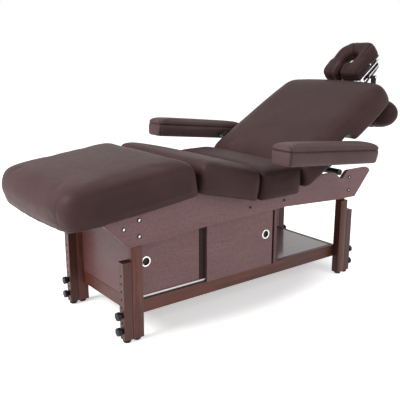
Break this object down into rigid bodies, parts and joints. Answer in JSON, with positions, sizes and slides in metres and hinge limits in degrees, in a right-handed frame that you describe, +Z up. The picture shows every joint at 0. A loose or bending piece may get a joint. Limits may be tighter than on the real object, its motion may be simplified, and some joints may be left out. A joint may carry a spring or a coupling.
{
  "type": "massage table",
  "caption": "Stationary massage table with a lifting back, sloped leg and knee pads, side armrests, face cradle, hanging arm bolster and a wooden base with a sliding-door cabinet.",
  "frame": {"origin": "on the floor under the middle of the table's bounding box", "axes": "+X from the foot end to the head end, +Y across toward the closed side of the cabinet (the doors face -Y), +Z up"},
  "size_m": [1.9396, 1.008, 1.1411],
  "materials": {
    "wood": "dark reddish walnut stain, satin lacquer",
    "vinyl": "dark brown upholstery vinyl over foam",
    "chrome": "bright plated",
    "steel": "black oxide",
    "plastic": "moulded black",
    "rubber": "black glide",
    "track": "white extrusion",
    "webbing": "woven black strap"
  },
  "bodies": {
    "base": {"side_panel_near": "wood", "side_panel_far": "wood", "leg_post_foot_near": "wood", "leg_post_foot_far": "wood", "leg_post_head_near": "wood", "leg_post_head_far": "wood", "long_rail_near": "wood", "long_rail_far": "wood", "end_rail_foot": "wood", "end_rail_head": "wood", "shelf_board": "wood", "foot_stretcher": "wood", "seat_stretcher": "wood", "cabinet_foot_panel": "wood", "cabinet_divider": "wood", "cabinet_far_panel": "wood", "door_track_bottom": "track", "door_track_top": "track", "leg_pad": "vinyl", "knee_pad": "vinyl", "seat_pad": "vinyl", "back_hinge_rod": "steel"},
    "back": {"back_pad": "vinyl", "back_board": "wood", "back_hinge_lug": "steel", "prop_pivot_rail": "steel", "armrest_bracket_near": "steel", "armrest_bracket_far": "steel", "cradle_socket": "plastic"},
    "prop": {"prop_frame": "steel"},
    "armrest_near": {"armrest_pad_near": "vinyl"},
    "armrest_far": {"armrest_pad_far": "vinyl"},
    "cradle_slide": {"cradle_tube": "chrome"},
    "cradle": {"cradle_frame": "chrome", "face_pillow": "vinyl"},
    "lever": {"cradle_lever": "plastic"},
    "bolster": {"arm_bolster": "vinyl", "bolster_strap_near": "webbing", "bolster_strap_far": "webbing"},
    "left_door": {"door_left": "wood", "door_pull_left": "chrome"},
    "right_door": {"door_right": "wood", "door_pull_right": "chrome"},
    "leg_foot_near": {"leg_extension_foot_near": "wood", "leg_foot_foot_near": "rubber"},
    "knob_foot_near_upper": {"leg_knob_foot_near_upper": "plastic"},
    "knob_foot_near_lower": {"leg_knob_foot_near_lower": "plastic"},
    "leg_foot_far": {"leg_extension_foot_far": "wood", "leg_foot_foot_far": "rubber"},
    "knob_foot_far_upper": {"leg_knob_foot_far_upper": "plastic"},
    "knob_foot_far_lower": {"leg_knob_foot_far_lower": "plastic"},
    "leg_head_near": {"leg_extension_head_near": "wood", "leg_foot_head_near": "rubber"},
    "knob_head_near_upper": {"leg_knob_head_near_upper": "plastic"},
    "knob_head_near_lower": {"leg_knob_head_near_lower": "plastic"},
    "leg_head_far": {"leg_extension_head_far": "wood", "leg_foot_head_far": "rubber"},
    "knob_head_far_upper": {"leg_knob_head_far_upper": "plastic"},
    "knob_head_far_lower": {"leg_knob_head_far_lower": "plastic"}
  },
  "joints": [
    {"name": "back_lift", "type": "hinge", "parent": "base", "child": "back", "pos_m": [0.23065, 0, 0.522], "axis": [0, -1, 0], "range_deg": [-31, 4]},
    {"name": "prop_fold", "type": "hinge", "parent": "back", "child": "prop", "pos_m": [0.41614, 0, 0.60744], "axis": [0, -1, 0], "range_deg": [-9.48, 69.42]},
    {"name": "armrest_level_near", "type": "hinge", "parent": "back", "child": "armrest_near", "pos_m": [0.2869, -0.392, 0.64819], "axis": [0, -1, 0], "range_deg": [-4.5, 31.5]},
    {"name": "armrest_level_far", "type": "hinge", "parent": "back", "child": "armrest_far", "pos_m": [0.28071, 0.392, 0.65848], "axis": [0, -1, 0], "range_deg": [-4.5, 31.5]},
    {"name": "cradle_extend", "type": "slide", "parent": "back", "child": "cradle_slide", "axis": [0.8572, 0, 0.515], "range_m": [0, 0.05]},
    {"name": "cradle_tilt", "type": "hinge", "parent": "cradle_slide", "child": "cradle", "pos_m": [0.86716, 0, 0.96549], "axis": [0, -1, 0], "range_deg": [-35, 10]},
    {"name": "lever_turn", "type": "hinge", "parent": "cradle_slide", "child": "lever", "pos_m": [0.86716, 0, 0.96549], "axis": [0, -1, 0], "range_deg": [-60, 20]},
    {"name": "bolster_swing", "type": "hinge", "parent": "cradle_slide", "child": "bolster", "pos_m": [0.86716, 0, 0.96549], "axis": [0, -1, 0], "range_deg": [-3, 35]},
    {"name": "left_door_slide", "type": "slide", "parent": "base", "child": "left_door", "axis": [1, 0, 0], "range_m": [0, 0.335]},
    {"name": "right_door_slide", "type": "slide", "parent": "base", "child": "right_door", "axis": [1, 0, 0], "range_m": [-0.325, 0]},
    {"name": "leg_height_foot_near", "type": "slide", "parent": "base", "child": "leg_foot_near", "axis": [0, 0, -1], "range_m": [0, 0.16]},
    {"name": "knob_turn_foot_near_upper", "type": "hinge", "parent": "leg_foot_near", "child": "knob_foot_near_upper", "pos_m": [-0.70571, -0.234, 0.115], "axis": [1, 0, 0], "continuous": true},
    {"name": "knob_turn_foot_near_lower", "type": "hinge", "parent": "leg_foot_near", "child": "knob_foot_near_lower", "pos_m": [-0.70571, -0.234, 0.051], "axis": [1, 0, 0], "continuous": true},
    {"name": "leg_height_foot_far", "type": "slide", "parent": "base", "child": "leg_foot_far", "axis": [0, 0, -1], "range_m": [0, 0.16]},
    {"name": "knob_turn_foot_far_upper", "type": "hinge", "parent": "leg_foot_far", "child": "knob_foot_far_upper", "pos_m": [-0.70571, 0.234, 0.115], "axis": [1, 0, 0], "continuous": true},
    {"name": "knob_turn_foot_far_lower", "type": "hinge", "parent": "leg_foot_far", "child": "knob_foot_far_lower", "pos_m": [-0.70571, 0.234, 0.051], "axis": [1, 0, 0], "continuous": true},
    {"name": "leg_height_head_near", "type": "slide", "parent": "base", "child": "leg_head_near", "axis": [0, 0, -1], "range_m": [0, 0.16]},
    {"name": "knob_turn_head_near_upper", "type": "hinge", "parent": "leg_head_near", "child": "knob_head_near_upper", "pos_m": [0.61039, -0.234, 0.115], "axis": [1, 0, 0], "continuous": true},
    {"name": "knob_turn_head_near_lower", "type": "hinge", "parent": "leg_head_near", "child": "knob_head_near_lower", "pos_m": [0.61039, -0.234, 0.051], "axis": [1, 0, 0], "continuous": true},
    {"name": "leg_height_head_far", "type": "slide", "parent": "base", "child": "leg_head_far", "axis": [0, 0, -1], "range_m": [0, 0.16]},
    {"name": "knob_turn_head_far_upper", "type": "hinge", "parent": "leg_head_far", "child": "knob_head_far_upper", "pos_m": [0.61039, 0.234, 0.115], "axis": [1, 0, 0], "continuous": true},
    {"name": "knob_turn_head_far_lower", "type": "hinge", "parent": "leg_head_far", "child": "knob_head_far_lower", "pos_m": [0.61039, 0.234, 0.051], "axis": [1, 0, 0], "continuous": true}
  ],
  "couplings": [
    {"joint": "prop_fold", "follows": "back_lift", "ratio": -2.22},
    {"joint": "armrest_level_near", "follows": "back_lift", "ratio": -1},
    {"joint": "armrest_level_far", "follows": "back_lift", "ratio": -1}
  ]
}
